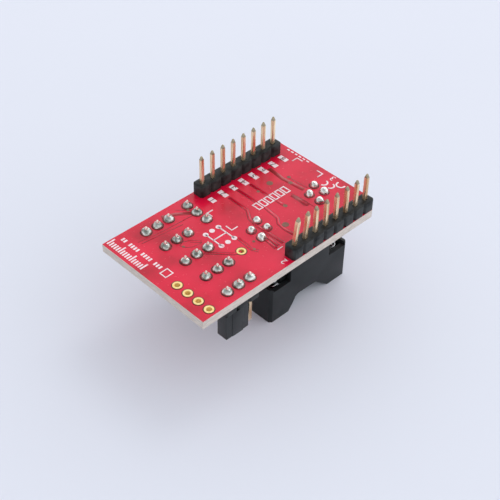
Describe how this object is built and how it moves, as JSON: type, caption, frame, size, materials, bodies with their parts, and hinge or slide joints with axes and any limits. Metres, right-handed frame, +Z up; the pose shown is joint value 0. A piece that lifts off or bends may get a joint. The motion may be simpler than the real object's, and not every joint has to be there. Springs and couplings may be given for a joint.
{
  "type": "ic programming adapter",
  "caption": "Small red circuit board with two rows of plug pins on one face, and a sprung open-top chip test socket and pin jumpers with pull-off shunts on the other.",
  "frame": {"origin": "under the middle of the board, on the surface that the socket's feet stand on", "axes": "+X along the board from the jumper end to the plug end, +Y across it from the near plug row to the far one, +Z up out of the solder side, along the plug pins"},
  "size_m": [0.0428, 0.0254, 0.0251],
  "materials": {
    "board": "solder mask over laminate",
    "plating": "gold plated",
    "pins": "gold plated",
    "solder": "satin solder",
    "contact_metal": "plated spring strip",
    "spring_steel": "bright wire",
    "socket_plastic": "moulded",
    "shunt_plastic": "moulded",
    "header_plastic": "moulded"
  },
  "bodies": {
    "board": {"circuit_board": "board", "plated_hole_line": "plating", "single_plated_hole": "plating", "near_plug_body": "header_plastic", "far_plug_body": "header_plastic", "near_plug_pins": "pins", "far_plug_pins": "pins", "plug_solder": "solder", "jumper_body_1": "header_plastic", "jumper_body_2": "header_plastic", "jumper_body_3": "header_plastic", "jumper_body_4": "header_plastic", "jumper_body_5": "header_plastic", "jumper_body_6": "header_plastic", "jumper_pins_1": "pins", "jumper_pins_2": "pins", "jumper_pins_3": "pins", "jumper_pins_4": "pins", "jumper_pins_5": "pins", "jumper_pins_6": "pins", "jumper_solder": "solder", "socket_base": "socket_plastic", "left_contacts": "contact_metal", "right_contacts": "contact_metal", "cover_springs": "spring_steel", "socket_solder": "solder"},
    "cover": {"socket_cover": "socket_plastic"},
    "shunt_1": {"shunt_housing_1": "shunt_plastic", "shunt_clip_1": "contact_metal"},
    "shunt_2": {"shunt_housing_2": "shunt_plastic", "shunt_clip_2": "contact_metal"},
    "shunt_3": {"shunt_housing_3": "shunt_plastic", "shunt_clip_3": "contact_metal"},
    "shunt_4": {"shunt_housing_4": "shunt_plastic", "shunt_clip_4": "contact_metal"},
    "shunt_5": {"shunt_housing_5": "shunt_plastic", "shunt_clip_5": "contact_metal"},
    "shunt_6": {"shunt_housing_6": "shunt_plastic", "shunt_clip_6": "contact_metal"}
  },
  "joints": [
    {"name": "cover_press", "type": "slide", "parent": "board", "child": "cover", "axis": [0, 0, 1], "range_m": [0, 0.002], "stiffness_N_per_m": 1000, "springref_m": -0.003, "deforming": ["cover_springs"]},
    {"name": "shunt_1_pull", "type": "slide", "parent": "board", "child": "shunt_1", "axis": [0, 0, -1], "range_m": [0, 0.0062]},
    {"name": "shunt_2_pull", "type": "slide", "parent": "board", "child": "shunt_2", "axis": [0, 0, -1], "range_m": [0, 0.0062]},
    {"name": "shunt_3_pull", "type": "slide", "parent": "board", "child": "shunt_3", "axis": [0, 0, -1], "range_m": [0, 0.0062]},
    {"name": "shunt_4_pull", "type": "slide", "parent": "board", "child": "shunt_4", "axis": [0, 0, -1], "range_m": [0, 0.0062]},
    {"name": "shunt_5_pull", "type": "slide", "parent": "board", "child": "shunt_5", "axis": [0, 0, -1], "range_m": [0, 0.0062]},
    {"name": "shunt_6_pull", "type": "slide", "parent": "board", "child": "shunt_6", "axis": [0, 0, -1], "range_m": [0, 0.0062]}
  ]
}
